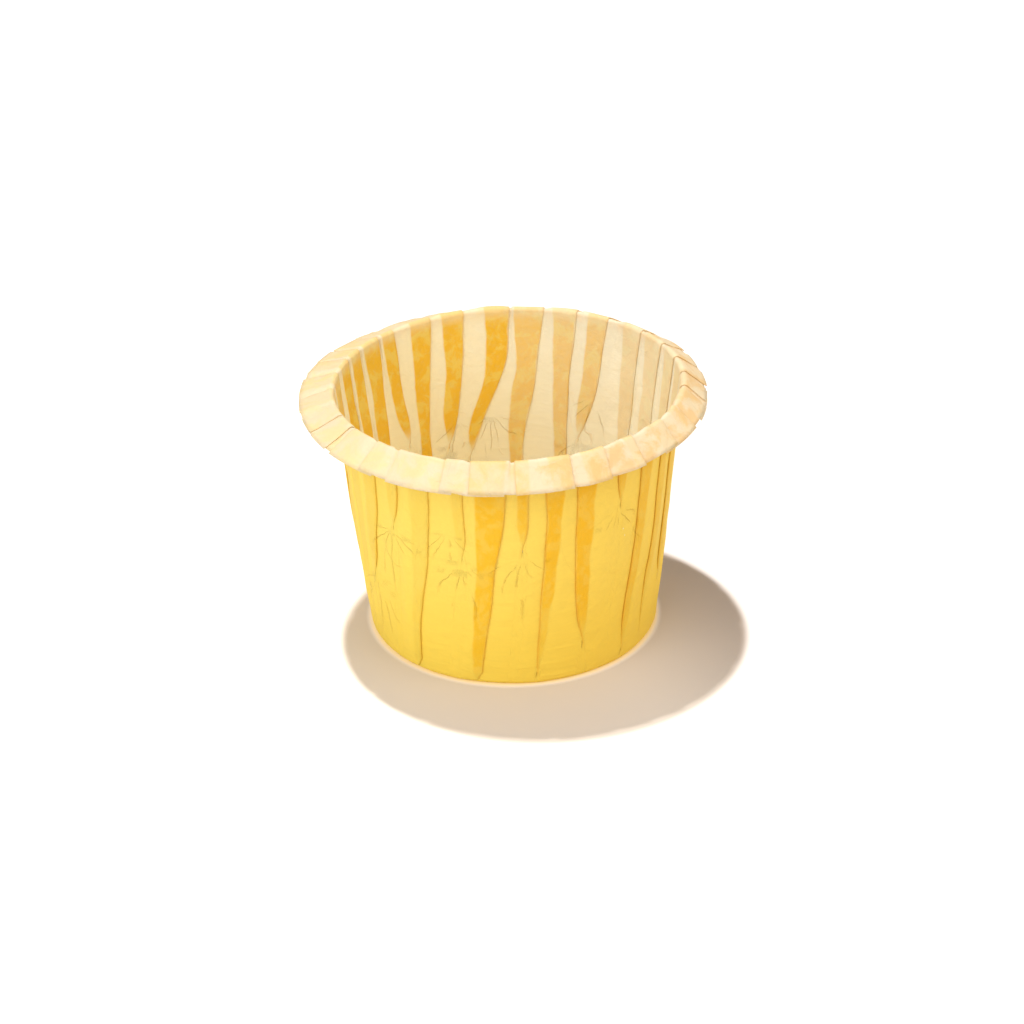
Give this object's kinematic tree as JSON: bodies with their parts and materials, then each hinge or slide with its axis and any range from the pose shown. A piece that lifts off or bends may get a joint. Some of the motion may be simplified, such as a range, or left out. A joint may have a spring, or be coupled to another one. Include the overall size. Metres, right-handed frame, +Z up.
{
  "type": "cupcake liner",
  "caption": "Pale yellow paper cupcake liner, one folded sheet with uneven flattened pleats round the wall and a thin ragged collar turned out at the rim.",
  "frame": {"origin": "centre of the round foot, on the surface the liner stands on", "axes": "+Z up from the foot to the open rim; +X to the picture's right; the picture looks from the -Y side"},
  "size_m": [0.0702, 0.0693, 0.0457],
  "materials": {
    "paper": "matt greaseproof paper, lightly crinkled"
  },
  "bodies": {
    "root": {"cupcake_liner": "paper"}
  },
  "joints": []
}
